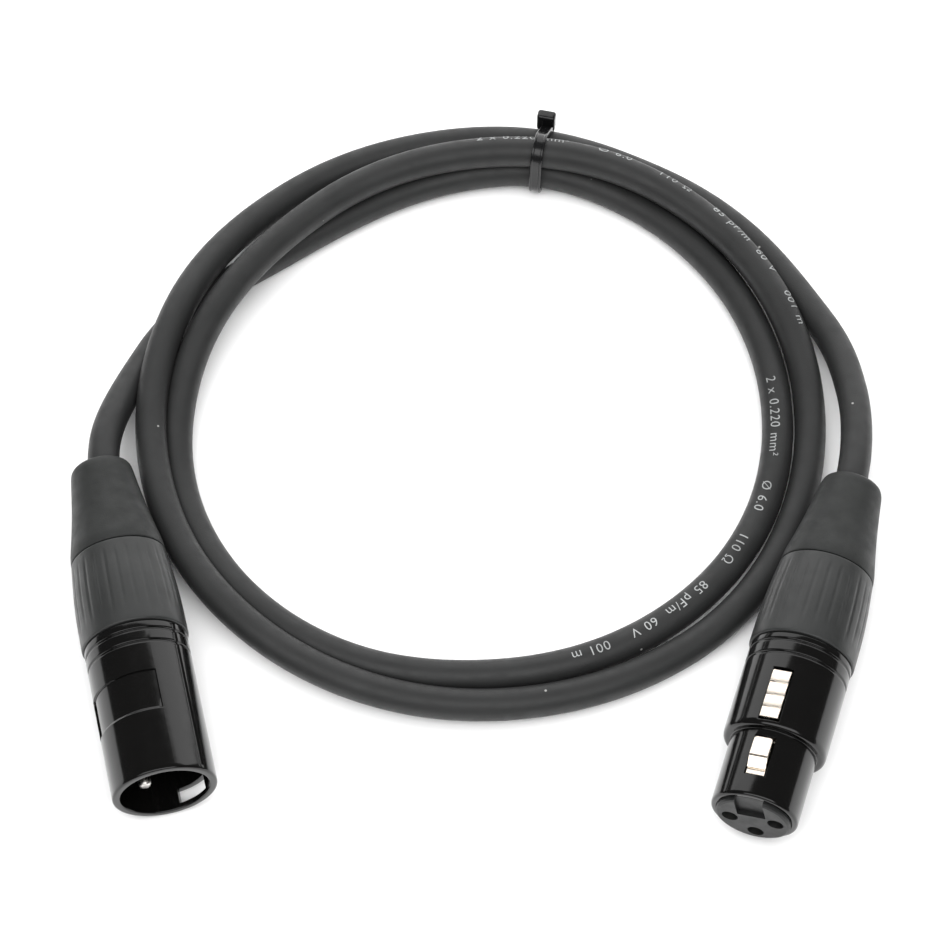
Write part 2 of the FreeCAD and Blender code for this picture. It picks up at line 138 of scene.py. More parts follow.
def connector_axes(mount_name, roll):
    """The matrix from a connector's own axes to the frame: +Z runs back along it, roll turns +Y."""
    mount = mounts[mount_name]
    back = -Vector(mount["axis"])
    axes = Matrix((UP.cross(back), UP, back)).transposed().to_4x4()
    turned = Matrix.Rotation(math.radians(roll), 4, "Z")
    return Matrix.Translation(Vector(mount["pos_m"])) @ axes @ turned


PIN_END = connector_axes("cup_interface", PIN_ROLL)
SOCKET_END = connector_axes("nose_interface", SOCKET_ROLL)


def middle_of(node):
    low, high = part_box(node)
    return (Vector(low) + Vector(high)) / 2


COIL_CENTRE = middle_of("cable_coil") * Vector((1, 1, 0))


# Camera, light and floor

def make_camera():
    data = bpy.data.cameras.new("camera")
    data.lens = CAMERA_LENS
    data.sensor_width = SENSOR_WIDTH
    camera = bpy.data.objects.new("camera", data)
    tilt = math.radians(CAMERA_ELEVATION)
    back_along = Vector((0, -math.cos(tilt), math.sin(tilt)))
    camera.location = COIL_CENTRE + CAMERA_OFFSET + CAMERA_DISTANCE * back_along
    camera.rotation_euler = (math.pi / 2 - tilt, 0, 0)
    bpy.context.scene.collection.objects.link(camera)
    bpy.context.scene.camera = camera


def make_softbox(name, place, target, size, power, roll=0.0):
    """A rectangular light that the camera doesn't see, turned by roll degrees about its own aim."""
    data = bpy.data.lights.new(name, "AREA")
    data.shape = "RECTANGLE"
    data.size, data.size_y = size
    data.energy = power
    light = bpy.data.objects.new(name, data)
    light.location = place
    aimed = (Vector(target) - Vector(place)).to_track_quat("-Z", "Y")
    light.rotation_euler = (aimed @ Quaternion((0, 0, 1), math.radians(roll))).to_euler()
    light.visible_camera = False
    bpy.context.scene.collection.objects.link(light)
    return light


def make_studio():
    """A dim room with a tall softbox behind the coil, one high in front and an even light above."""
    world = bpy.data.worlds.new("studio")
    world.use_nodes = True
    background = world.node_tree.nodes["Background"]
    background.inputs["Color"].default_value = (1.0, 1.0, 1.0, 1)
    background.inputs["Strength"].default_value = 0.10
    bpy.context.scene.world = world
    level = 0.94
    make_softbox("back", place=(0.2, 1.2, level), target=(0.2, 0, level), size=(3.0, 1.85),
                 power=29, roll=13)
    make_softbox("front", place=(-0.1, -0.75, 1.25), target=(0, 0, 0), size=(2.2, 0.9), power=14)
    overhead = make_softbox("overhead", place=(0, -0.1, 1.3), target=(0, 0, 0), size=(2.0, 2.0),
                            power=32)
    overhead.visible_glossy = False
    bpy.context.scene.view_settings.view_transform = "Standard"

    floor_size = 6.0
    bm = bmesh.new()
    bmesh.ops.create_grid(bm, x_segments=8, y_segments=8, size=floor_size / 2)
    mesh = bpy.data.meshes.new("floor")
    bm.to_mesh(mesh)
    bm.free()
    floor = bpy.data.objects.new("floor", mesh)
    bpy.context.scene.collection.objects.link(floor)
    mesh.materials.append(paper())


# Materials

def principled(name, **sockets):
    """A new material; the sockets named are set on its shader."""
    made = bpy.data.materials.new(name)
    made.use_nodes = True
    shader = made.node_tree.nodes["Principled BSDF"]
    for socket, value in sockets.items():
        shader.inputs[socket.replace("_", " ")].default_value = value
    return made


def add_noise(tree, scale, detail):
    """Noise in the piece's own axes, with scale in features a metre."""
    place = tree.nodes.new("ShaderNodeTexCoord")
    made = tree.nodes.new("ShaderNodeTexNoise")
    made.inputs["Scale"].default_value = scale
    made.inputs["Detail"].default_value = detail
    tree.links.new(place.outputs["Object"], made.inputs["Vector"])
    return made.outputs["Fac"]


def remap(tree, value, low, high, out_low, out_high):
    made = tree.nodes.new("ShaderNodeMapRange")
    limits = {"From Min": low, "From Max": high, "To Min": out_low, "To Max": out_high}
    for socket, number in limits.items():
        made.inputs[socket].default_value = number
    tree.links.new(value, made.inputs["Value"])
    return made.outputs["Result"]


def mix_colours(tree, factor, first, second):
    """Mixes two colours; each is a socket or a plain colour."""
    made = tree.nodes.new("ShaderNodeMix")
    made.data_type = "RGBA"
    tree.links.new(factor, made.inputs["Factor"])
    for index, colour in ((6, first), (7, second)):
        if isinstance(colour, tuple):
            made.inputs[index].default_value = (*colour, 1)
        else:
            tree.links.new(colour, made.inputs[index])
    return made.outputs[2]


def add_bump(tree, height, depth):
    """Relief on the shader, with depth in metres."""
    made = tree.nodes.new("ShaderNodeBump")
    made.inputs["Distance"].default_value = depth
    tree.links.new(height, made.inputs["Height"])
    tree.links.new(made.outputs["Normal"], tree.nodes["Principled BSDF"].inputs["Normal"])


def tint(colour, factor):
    return tuple(part * factor for part in colour)


def uneven(tree, scale, detail, low, high):
    """A value that wanders between low and high over the surface."""
    return remap(tree, add_noise(tree, scale, detail), 0.3, 0.7, low, high)


def moulded(name, colour, roughness, grain, depth, mottle=0.12, **sockets):
    """A moulded or painted surface: slow colour mottling, uneven gloss and a fine grain.

    grain is in features a metre and depth, its height, in metres.
    """
    made = principled(name, **sockets)
    tree = made.node_tree
    shader = tree.nodes["Principled BSDF"]
    slow = uneven(tree, 90, 4.0, 0, 1)
    tone = mix_colours(tree, slow, tint(colour, 1 - mottle), tint(colour, 1 + mottle))
    tree.links.new(tone, shader.inputs["Base Color"])
    gloss = uneven(tree, 420, 3.0, roughness * 0.85, roughness * 1.15)
    tree.links.new(gloss, shader.inputs["Roughness"])
    add_bump(tree, add_noise(tree, grain, 2.0), depth)
    return made


def dusty(made, spacing, radius, colour):
    """Scatters a few pale specks over a material, one to a cell; spacing and radius in metres."""
    tree = made.node_tree
    shader = tree.nodes["Principled BSDF"]
    place = tree.nodes.new("ShaderNodeTexCoord")
    cells = tree.nodes.new("ShaderNodeTexVoronoi")
    cells.inputs["Scale"].default_value = 1 / spacing
    tree.links.new(place.outputs["Object"], cells.inputs["Vector"])
    reach = radius / spacing
    speck = remap(tree, cells.outputs["Distance"], reach * 0.7, reach, 0.75, 0)
    below = shader.inputs["Base Color"].links[0].from_socket
    tree.links.new(mix_colours(tree, speck, below, colour), shader.inputs["Base Color"])
    return made


def paper():
    made = principled("studio_paper", Roughness=0.9)
    tree = made.node_tree
    shade = mix_colours(tree, add_noise(tree, 3.0, 3.0), (0.90, 0.90, 0.90), (0.93, 0.93, 0.93))
    tree.links.new(shade, tree.nodes["Principled BSDF"].inputs["Base Color"])
    return made


def plated(name, colour, roughness):
    """Plated metal with fine marks and slightly uneven gloss."""
    made = principled(name, Metallic=1.0)
    tree = made.node_tree
    shader = tree.nodes["Principled BSDF"]
    tone = mix_colours(tree, uneven(tree, 300, 3.0, 0, 1), tint(colour, 0.93), colour)
    tree.links.new(tone, shader.inputs["Base Color"])
    gloss = uneven(tree, 900, 2.0, roughness * 0.7, roughness * 1.3)
    tree.links.new(gloss, shader.inputs["Roughness"])
    add_bump(tree, add_noise(tree, 6000, 2.0), 0.0000012)
    return made


JACKET = dusty(
    moulded("jacket_pvc", (0.0165, 0.0168, 0.0168), 0.5, 5200, 0.00003, Specular_IOR_Level=0.42),
    spacing=0.0089, radius=0.00026, colour=(0.35, 0.35, 0.34),
)
RUBBER = moulded("boot_rubber", (0.0125, 0.0134, 0.0130), 0.55, 4200, 0.00003, mottle=0.05,
                 Specular_IOR_Level=0.40)
COLLAR = moulded("collar_nylon", (0.0185, 0.0194, 0.0191), 0.42, 5200, 0.00003, mottle=0.08)
LACQUER = moulded("shell_lacquer", (0.0025, 0.0024, 0.0023), 0.13, 700, 0.000006, mottle=0.2)
FACE_PLASTIC = moulded("insert_plastic", (0.0070, 0.0075, 0.0075), 0.5, 3000, 0.00002)
DARK_PLASTIC = moulded("insert_dark", (0.005, 0.005, 0.005), 0.4, 3000, 0.00002)
NICKEL = plated("latch_nickel", (0.95, 0.86, 0.75), 0.22)
SILVER = plated("pin_silver", (0.88, 0.86, 0.82), 0.34)
GOLD = plated("socket_gold", (0.80, 0.60, 0.28), 0.2)
SPRING = plated("spring_steel", (0.52, 0.52, 0.53), 0.28)
COPPER = plated("shield_strands", (0.72, 0.45, 0.30), 0.35)
CORE_RED = moulded("core_red", (0.42, 0.03, 0.03), 0.4, 3000, 0.00001)
CORE_WHITE = moulded("core_white", (0.72, 0.72, 0.69), 0.4, 3000, 0.00001)
NYLON = moulded("tie_nylon", (0.0055, 0.0055, 0.0058), 0.2, 2600, 0.00002, mottle=0.2)
INK = moulded("print_ink", (0.30, 0.31, 0.31), 0.55, 5200, 0.00001, mottle=0.25)


# Mesh helpers

# Depths and radii closer than this are the same, in millimetres
CLOSE = 1e-4
# How rounded a window's rim is, in millimetres, and over how many degrees beside a window the
# inside of the wall makes room for it
WINDOW_EDGE = 0.12
WINDOW_FADE = 25


def finished(bm, name, matrix, material, body, node_names, sharp=38.0, blend=None):
    """Turns a bmesh into a piece that stands for the named CAD nodes and rides their body.

    When blend is given the piece rides no body and its placing is baked into its mesh; the second
    body and the points that blend gives are not used.
    """
    bmesh.ops.remove_doubles(bm, verts=bm.verts, dist=1e-7)
    bmesh.ops.recalc_face_normals(bm, faces=bm.faces)
    mesh = bpy.data.meshes.new(name)
    bm.to_mesh(mesh)
    bm.free()
    mesh.transform(matrix)
    for polygon in mesh.polygons:
        polygon.use_smooth = True
    mesh.set_sharp_from_angle(angle=math.radians(sharp))
    mesh.materials.append(material)
    piece = bpy.data.objects.new(name, mesh)
    bpy.context.scene.collection.objects.link(piece)
    if not blend:
        weighted = piece.modifiers.new("weighted", "WEIGHTED_NORMAL")
        weighted.keep_sharp = True
        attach(piece, body)
    if node_names:
        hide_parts(*node_names)
    if blend:
        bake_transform(piece)


def softened(corners, steps=5):
    """A section's (depth, radius, cut) corners, each rounded from a cut's length on both sides."""
    points = []
    count = len(corners)
    for index, (depth, radius, cut) in enumerate(corners):
        here = Vector((depth, radius))
        if not cut:
            points.append(tuple(here))
            continue
        before = Vector(corners[index - 1][:2]) - here
        after = Vector(corners[(index + 1) % count][:2]) - here
        start = here + before.normalized() * min(cut, before.length / 2)
        end = here + after.normalized() * min(cut, after.length / 2)
        for step in range(steps + 1):
            part = step / steps
            rounded = start * (1 - part) ** 2 + here * 2 * part * (1 - part) + end * part**2
            points.append(tuple(rounded))
    return points


def turn_from(middle, angle):
    """How far an angle is from middle, in degrees, from -180 to 180."""
    return (angle - middle + 180) % 360 - 180


def half_angle(width, radius):
    """Half the angle that a width takes up at a radius."""
    return math.degrees(math.asin(width / 2 / radius))


def with_cuts(points, cuts):
    """Adds a point wherever a section's line passes one of the depths in cuts."""
    made = [points[0]]
    for (depth, radius), (next_depth, next_radius) in zip(points, points[1:]):
        low, high = sorted((depth, next_depth))
        passed = [cut for cut in cuts if low + CLOSE < cut < high - CLOSE]
        for cut in sorted(passed, reverse=next_depth < depth):
            part = (cut - depth) / (next_depth - depth)
            made.append((cut, radius + part * (next_radius - radius)))
        made.append((next_depth, next_radius))
    return made


def with_turns(count, turns):
    """Evenly spaced angles in degrees, with the nearest ones moved out of the way of turns."""
    turns = [turn % 360 for turn in turns]
    step = 360 / count
    kept = [
        index * step for index in range(count)
        if all(abs(turn_from(turn, index * step)) > step * 0.45 for turn in turns)
    ]
    return sorted(set(kept + turns))


def bevelled(bm, edges, offset, segments, **options):
    """Rounds the edges, by an offset in millimetres."""
    bmesh.ops.bevel(bm, geom=edges, offset=offset * MM, segments=segments, profile=0.5,
                    affect="EDGES", **options)


def add_face(bm, corners):
    """A face whose repeated corners are dropped, as at the axis."""
    kept = []
    for corner in corners:
        if corner not in kept:
            kept.append(corner)
    if len(kept) > 2 and bm.faces.get(kept) is None:
        bm.faces.new(kept)


def turned(
    outside, inside=(), count=144, cuts=(), turns=(), relief=None, windows=(), parallel=False
):
    """A skin turned round the axis, in metres.

    outside runs from front to back and inside from back to front.  relief(depth, angle) says how
    deep the outside is sunk.  windows are (start, end, middle, half) openings through the wall, by
    depth and by angle; their sides run towards the axis, or parallel to each other.
    """
    cuts = list(cuts)
    turns = list(turns)
    for start, end, middle, half in windows:
        cuts += [start, end]
        turns += [middle - half, middle + half]
    outer = with_cuts(list(outside), cuts)
    section = outer + (with_cuts(list(inside), cuts) if inside else [])
    angles = with_turns(count, turns)
    count = len(angles)

    def inner(index):
        return index >= len(outer)

    def beside(window, depth):
        return window[0] - CLOSE < depth < window[1] + CLOSE

    def widened(angle, depth, radius):
        """The angle inside the wall that keeps a window as wide there as it is outside."""
        for window in windows:
            if not beside(window, depth):
                continue
            middle, half = window[2:]
            skin = max(reach for place, reach in outer if beside(window, place))
            wide = half_angle(2 * skin * math.sin(math.radians(half)), radius)
            away = turn_from(middle, angle)
            fade = half + WINDOW_FADE
            if abs(away) < half:
                return middle + away * wide / half
            if abs(away) < fade:
                moved = wide + (abs(away) - half) * (fade - wide) / (fade - half)
                return middle + math.copysign(moved, away)
        return angle

    bm = bmesh.new()
    rows = []
    for index, (depth, radius) in enumerate(section):
        if radius < CLOSE:
            rows.append([bm.verts.new((0, 0, depth * MM))] * count)
            continue
        row = []
        for angle in angles:
            sunk = relief(depth, angle) if relief and not inner(index) else 0
            if parallel and inner(index):
                angle = widened(angle, depth, radius)
            turn = math.radians(angle)
            reach = (radius - sunk) * MM
            row.append(bm.verts.new((reach * math.cos(turn), reach * math.sin(turn), depth * MM)))
        rows.append(row)

    def opened(index, column):
        after = (index + 1) % len(rows)
        if inner(index) != inner(after):
            return False
        here = (angles[column] + angles[(column + 1) % count]) / 2
        return any(
            all(beside(window, section[row][0]) for row in (index, after))
            and abs(turn_from(window[2], here)) < window[3]
            for window in windows
        )

    closed = len(section) > len(outer)
    for index in range(len(rows) if closed else len(rows) - 1):
        here, there = rows[index], rows[(index + 1) % len(rows)]
        for column in range(count):
            after = (column + 1) % count
            if not opened(index, column):
                add_face(bm, [here[column], here[after], there[after], there[column]])

    rims = []
    for window in windows:
        middle, half = window[2:]
        spanned = [index for index, point in enumerate(section) if beside(window, point[0])]
        top = [rows[index] for index in spanned if not inner(index)]
        bottom = [rows[index] for index in reversed(spanned) if inner(index)]
        first = angles.index((middle - half) % 360)
        last = angles.index((middle + half) % 360)
        span = [(first + index) % count for index in range((last - first) % count + 1)]
        for row, under in ((top[0], bottom[0]), (top[-1], bottom[-1])):
            for a, b in zip(span, span[1:]):
                add_face(bm, [row[a], row[b], under[b], under[a]])
                rims.append(bm.edges.get((row[a], row[b])))
        levels = list(zip(top, bottom))
        for column in (span[0], span[-1]):
            for (row, under), (next_row, next_under) in zip(levels, levels[1:]):
                add_face(bm, [row[column], next_row[column], next_under[column], under[column]])
                rims.append(bm.edges.get((row[column], next_row[column])))
    if rims:
        bmesh.ops.recalc_face_normals(bm, faces=bm.faces)
        bevelled(bm, rims, WINDOW_EDGE, 2)
    return bm


def ring_groove(start):
    """Corners of a shallow groove round a shell."""
    floor = SHELL_RADIUS - 0.25
    return [
        (start, SHELL_RADIUS, 0.22),
        (start + 0.15, floor, 0.08),
        (start + 0.45, floor, 0.08),
        (start + 0.6, SHELL_RADIUS, 0.22),
    ]


def threaded_tail(shoulder):
    """Corners of a shell's back end, from where the collar closes to the end of the thread."""
    step = shoulder - 0.2
    back = shoulder + THREAD_LENGTH
    return [
        (step, SHELL_RADIUS, 0.2),
        (step, THREAD_RADIUS, 0),
        (back, THREAD_RADIUS, 0.2),
        (back, BORE_RADIUS, 0),
    ]


def smooth_step(value):
    value = min(max(value, 0.0), 1.0)
    return value * value * (3 - 2 * value)


# The cable

# The coil's turns, each place with the degrees wound clockwise from the pin connector's side, the
# distance from the middle and the height: where strands cross, part or are drawn in by the tie
TURNS = (
    (20, 61.7, 3.0), (28, 58.3, 3.0), (36, 54.8, 3.0), (46, 52.4, 3.0), (60, 51.7, 3.0),
    (75, 52.9, 3.1), (90, 54.7, 3.5), (101, 56.0, 4.05), (112, 56.4, 3.6), (122, 56.5, 3.1),
    (150, 56.5, 3.0), (180, 56.9, 3.0), (200, 57.6, 3.0), (215, 57.7, 3.0), (240, 57.2, 3.0),
    (270, 57.0, 3.0), (292, 58.6, 3.0), (315, 59.6, 3.0), (335, 59.6, 3.1), (348, 58.8, 3.8),
    (359, 57.5, 5.2), (370, 56.0, 7.4), (382, 54.3, 9.0), (394, 53.0, 9.2), (407, 52.6, 9.0),
    (420, 53.5, 8.8), (435, 54.6, 8.9), (450, 55.6, 9.3), (461, 56.6, 9.7), (478, 58.7, 9.1),
    (495, 60.2, 7.9), (508, 61.2, 7.4), (520, 62.0, 6.6), (532, 62.8, 4.8), (543, 63.2, 3.4),
    (555, 63.6, 3.1), (570, 64.1, 3.1), (586, 64.4, 3.2), (603, 63.9, 3.6), (622, 63.6, 4.2),
    (640, 63.9, 4.8), (660, 64.2, 5.6), (676, 64.3, 6.2), (692, 64.1, 6.5), (706, 63.3, 7.2),
    (720, 62.5, 7.9), (730, 61.8, 8.7), (740, 61.2, 9.1), (752, 61.2, 7.3), (766, 61.5, 4.6),
    (782, 62.2, 3.2), (800, 62.4, 3.1), (821, 62.8, 4.0), (840, 63.5, 3.1), (855, 65.2, 3.0),
    (866, 66.2, 3.0), (875, 67.3, 3.1),
)
TURN_STEP = 10

# Places on the leads, from the coil's middle, and depths where they run on a connector's axis
PIN_LEAD = (
    (-70.0, -20.5, 9.8), (-70.9, -15.5, 9.6), (-70.9, -10.5, 9.2), (-70.1, -5.4, 8.1),
    (-68.6, 0.0, 6.6), (-66.7, 5.4, 5.1), (-64.6, 10.6, 3.8), (-62.5, 15.1, 3.1),
)
SOCKET_LEAD = (
    (66.2, 19.3, 3.9), (68.3, 14.6, 4.6), (69.8, 9.7, 5.4), (70.7, 4.7, 6.2), (71.3, -0.4, 7.2),
    (71.4, -5.4, 8.1), (71.1, -10.2, 8.8), (70.5, -15.0, 9.4), (69.3, -20.5, 9.8),
)
PIN_LEAD_DEPTHS = (PIN_SHOULDER + JACKET_START, 48.0, 56.0, 62.0)
SOCKET_LEAD_DEPTHS = (65.0, 59.0, 51.0, SOCKET_SHOULDER + JACKET_START)


def between_turns(wound):
    """Distance from the coil's middle and height at an angle, on a smooth curve through TURNS."""
    last = len(TURNS) - 1
    index = max(i for i in range(last) if TURNS[i][0] <= wound)
    nearest = (min(max(index + i, 0), last) for i in (-1, 0, 1, 2))
    before, start, end, after = (Vector(TURNS[i]) for i in nearest)
    width = end[0] - start[0]
    leaving = (end - before) / (end[0] - before[0]) * width
    arriving = (after - start) / (after[0] - start[0]) * width
    t = (wound - start[0]) / width
    placed = (
        start * (2 * t**3 - 3 * t**2 + 1)
        + leaving * (t**3 - 2 * t**2 + t)
        + end * (3 * t**2 - 2 * t**3)
        + arriving * (t**3 - t**2)
    )
    return placed[1], placed[2]


def coil_points():
    """Spline points along the turns, a little further out than the line, which cuts inside them."""
    widen = 1 / math.cos(math.radians(TURN_STEP / 2))
    points = []
    wound = TURNS[0][0]
    while wound <= TURNS[-1][0]:
        radius, height = between_turns(wound)
        turn = math.radians(180 - wound)
        points.append((radius * widen * math.cos(turn), radius * widen * math.sin(turn), height))
        wound += TURN_STEP
    return points


def converted(piece):
    """A mesh of a curve or of a text, as it stands."""
    bpy.context.view_layer.update()
    return bpy.data.meshes.new_from_object(
        piece.evaluated_get(bpy.context.evaluated_depsgraph_get())
    )


def make_cable():
    """The cable from one connector to the other; returns the points of its middle line."""
    on_pin_axis = [PIN_END @ Vector((0, 0, depth * MM)) for depth in PIN_LEAD_DEPTHS]
    on_socket_axis = [SOCKET_END @ Vector((0, 0, depth * MM)) for depth in SOCKET_LEAD_DEPTHS]
    free = (*PIN_LEAD, *coil_points(), *SOCKET_LEAD)
    route = on_pin_axis + [COIL_CENTRE + Vector(point) * MM for point in free] + on_socket_axis

    curve = bpy.data.curves.new("cable", "CURVE")
    curve.dimensions = "3D"
    spline = curve.splines.new("NURBS")
    spline.points.add(len(route) - 1)
    for point, place in zip(spline.points, route):
        point.co = (*place, 1)
    spline.order_u = 3
    spline.use_endpoint_u = True
    spline.resolution_u = 8
    cable = bpy.data.objects.new("cable", curve)
    bpy.context.scene.collection.objects.link(cable)

    bare = converted(cable)
    line = [vertex.co.copy() for vertex in bare.vertices]
    bpy.data.meshes.remove(bare)

    curve.bevel_depth = CABLE_RADIUS * MM
    curve.bevel_resolution = 8
    curve.use_fill_caps = True
    curve.materials.append(JACKET)
    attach(cable, "lead")
    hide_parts("cable_male_lead", "cable_coil", "cable_female_lead")
    return line


# Collars and boots

def make_collar(side, connector, shoulder):
    """The grip sleeve, with shallow flutes that fade out before both of its ends."""
    back = shoulder + COLLAR_LENGTH
    lip = back - COLLAR_LIP_LENGTH
    outside = softened([
        (shoulder, COLLAR_BORE_RADIUS, 0.15),
        (shoulder, COLLAR_RADIUS, 0.45),
        (shoulder + 9.0, COLLAR_RADIUS - 0.1, 4.0),
        (back, COLLAR_TAIL_RADIUS, 0.35),
        (back, COLLAR_LIP_RADIUS, 0),
    ])
    inside = [
        (back, COLLAR_LIP_RADIUS),
        (lip, COLLAR_LIP_RADIUS),
        (lip, COLLAR_BORE_RADIUS),
        (shoulder + 0.15, COLLAR_BORE_RADIUS),
    ]

    def flutes(depth, angle):
        along = smooth_step((depth - shoulder - 1.5) / 5) * smooth_step((back - 1.0 - depth) / 2.5)
        wave = math.cos(math.radians(angle * FLUTES))
        return FLUTE_DEPTH * along * max(0.0, wave) ** 2

    cuts = [shoulder + 0.6 * step for step in range(2, 30)]
    bm = turned(outside[:-1], inside, count=FLUTES * 12, cuts=cuts, relief=flutes)
    name = f"{side}_collar"
    finished(bm, f"{name}_grip", connector, COLLAR, name, [name])


def make_boot(side, connector, shoulder):
    """The rubber boot, tapering to a rounded mouth round the cable."""
    seam = shoulder + COLLAR_LENGTH + SEAM
    lip = shoulder + COLLAR_LENGTH - COLLAR_LIP_LENGTH
    tip = seam + BOOT_LENGTH
    neck = COLLAR_LIP_RADIUS - 0.1
    flange = COLLAR_BORE_RADIUS - 0.12
    outside = softened([
        (lip - 2.0, flange, 0),
        (lip - 0.1, flange, 0),
        (lip - 0.1, neck, 0),
        (seam, neck, 0),
        (seam, COLLAR_TAIL_RADIUS, 0.3),
        (seam + 1.5, COLLAR_TAIL_RADIUS - 0.1, 1.0),
        (seam + 9.5, BOOT_TIP_RADIUS + 1.35, 5.0),
        (tip - 0.1, BOOT_TIP_RADIUS - 0.05, 1.5),
        (tip, BOOT_MOUTH_RADIUS + 0.1, 0.1),
        (tip - 0.3, BOOT_MOUTH_RADIUS - 0.05, 0),
    ])
    inside = [
        (tip - 9.0, BOOT_BORE_RADIUS),
        (seam + 1.5, BOOT_BORE_RADIUS),
        (seam - 1.0, 5.4),
        (lip - 2.0, 6.8),
    ]
    cuts = [seam + step for step in range(1, 19)]
    bm = turned(outside, inside, cuts=cuts)
    name = f"{side}_boot"
    finished(bm, f"{name}_rubber", connector, RUBBER, name, [name])


# The pin end

def make_pin_shell():
    """The cup and barrel, with a latch window, plain label panel, key line and ring grooves."""
    shoulder = PIN_SHOULDER
    outside = softened([
        (0.0, CUP_RADIUS, 0.3),
        (0.0, SHELL_RADIUS, 0.5),
        *ring_groove(shoulder - 4.6),
        *ring_groove(shoulder - 2.1),
        *threaded_tail(shoulder),
    ])
    stop_radius = 7.0
    inside = [
        (CUP_DEPTH + 1.0, BORE_RADIUS),
        (CUP_DEPTH + 1.0, stop_radius),
        (CUP_DEPTH, stop_radius),
        (CUP_DEPTH, CUP_RADIUS),
        (0.35, CUP_RADIUS),
    ]

    key_half = half_angle(KEY_WIDTH, SHELL_RADIUS)
    key_start = 1.0
    wall, ramp = 0.12, 0.6
    wall_turn = math.degrees(wall / SHELL_RADIUS)

    def relief(depth, angle):
        panel = smooth_step((depth - PANEL_START) / ramp) * smooth_step((PANEL_END - depth) / wall)
        from_panel = abs(turn_from(PANEL_ANGLE, angle))
        panel *= smooth_step((PANEL_HALF_ANGLE - from_panel) / wall_turn)
        key = smooth_step((depth - key_start) / wall) if depth <= shoulder - 0.2 else 0
        key *= smooth_step((key_half - abs(turn_from(0, angle))) / wall_turn)
        return PANEL_DEPTH * panel + KEY_DEPTH * key

    cuts = [key_start, key_start + wall, PANEL_END - wall, PANEL_END]
    cuts += [PANEL_START + ramp * step / 5 for step in range(6)]
    cuts += [6.0, 9.0, 14.5, 17.5, 22.5]
    turns = [
        middle + side * (half - inset)
        for middle, half in ((PANEL_ANGLE, PANEL_HALF_ANGLE), (0, key_half))
        for side in (-1, 1)
        for inset in (0, wall_turn)
    ]
    window = (1.0, 3.75, LATCH_ANGLE, half_angle(LATCH_WINDOW_WIDTH, SHELL_RADIUS))
    bm = turned(outside, inside, count=180, cuts=cuts, turns=turns, relief=relief, windows=[window])
    finished(bm, "male_shell_lacquered", PIN_END, LACQUER, "lead", ["male_shell"])


def at_contact(connector, number):
    """The matrix from a contact's own axes to the frame."""
    turn = math.radians(CONTACT_ANGLES[number])
    circle = CONTACT_CIRCLE * MM
    return connector @ Matrix.Translation((circle * math.cos(turn), circle * math.sin(turn), 0))


def make_pins():
    """The three contact pins, each with a round tip in front and a solder cup behind."""
    shank = SOLDER_CUP_RADIUS
    bore = shank - 0.5
    cup_back = PIN_SHOULDER + 4.8
    cup_floor = cup_back - 4.0
    for number in CONTACT_ANGLES:
        outside = softened([
            (PIN_SETBACK, 0, 0),
            (PIN_SETBACK, PIN_RADIUS, 1.15),
            (CUP_DEPTH, PIN_RADIUS, 0),
            (CUP_DEPTH, shank, 0.1),
            (cup_back, shank, 0.15),
            (cup_back, bore, 0.1),
            (cup_floor, bore, 0),
            (cup_floor, 0, 0),
        ], steps=8)
        bm = turned(outside, count=48)
        finished(bm, f"male_pin_{number}_plated", at_contact(PIN_END, number), SILVER, "lead",
                 [f"male_pin_{number}"])


# The socket end

def make_socket_shell():
    """The stepped nose and barrel, with openings for the latch's hook and its pad."""
    shoulder = SOCKET_SHOULDER
    outside = softened([
        (NOSE_RIM, NOSE_BORE_RADIUS, 0.12),
        (NOSE_RIM, NOSE_RADIUS, 0.75),
        (NOSE_LENGTH, NOSE_RADIUS, 0.2),
        (NOSE_LENGTH, SHELL_RADIUS, 1.3),
        *ring_groove(shoulder - 4.5),
        *ring_groove(shoulder - 1.9),
        *threaded_tail(shoulder),
    ])
    inside = [
        (shoulder + THREAD_LENGTH - 0.5, BORE_RADIUS),
        (NOSE_LENGTH + 0.6, BORE_RADIUS),
        (NOSE_LENGTH + 0.6, NOSE_BORE_RADIUS),
        (NOSE_RIM + 0.12, NOSE_BORE_RADIUS),
    ]
    windows = [
        (4.7, 12.5, LATCH_ANGLE, half_angle(LATCH_SLOT_WIDTH, NOSE_RADIUS)),
        (15.0, 25.7, LATCH_ANGLE, half_angle(LATCH_SLOT_WIDTH, SHELL_RADIUS)),
    ]
    bm = turned(outside, inside, count=180, cuts=[8.0, 18.0, 22.0], windows=windows, parallel=True)
    finished(bm, "female_shell_lacquered", SOCKET_END, LACQUER, "lead", ["female_shell"])


